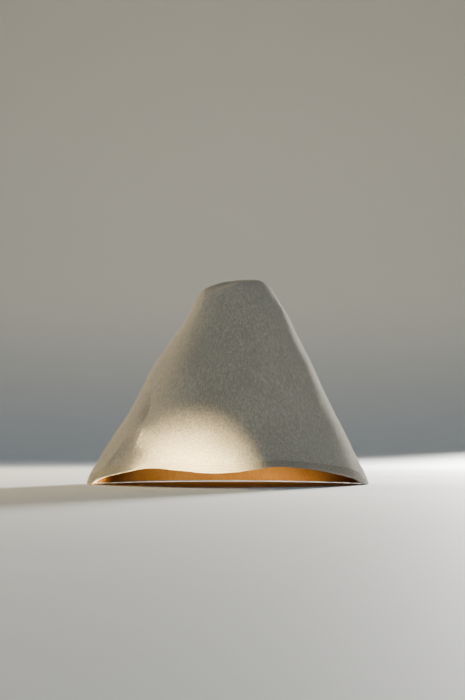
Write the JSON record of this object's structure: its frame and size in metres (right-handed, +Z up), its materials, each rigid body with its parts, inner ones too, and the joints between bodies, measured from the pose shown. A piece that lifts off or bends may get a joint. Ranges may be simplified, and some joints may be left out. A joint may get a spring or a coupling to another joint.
{
  "type": "felt hat",
  "caption": "Soft flared bell-shaped felt hat, crown and brim in one piece, with a dented tip, a wavy hem and a cloth lining",
  "frame": {"origin": "on the ground under the middle of the hat's box, with the hat standing on its rim", "axes": "+Z up, -Y the front, +X to the right as seen from the front"},
  "size_m": [0.28, 0.249, 0.2065],
  "materials": {
    "felt": "thick off-white wool felt with a short nap",
    "lining_cloth": "matt ochre cloth"
  },
  "bodies": {
    "root": {"felt_shell": "felt", "lining": "lining_cloth"}
  },
  "joints": []
}
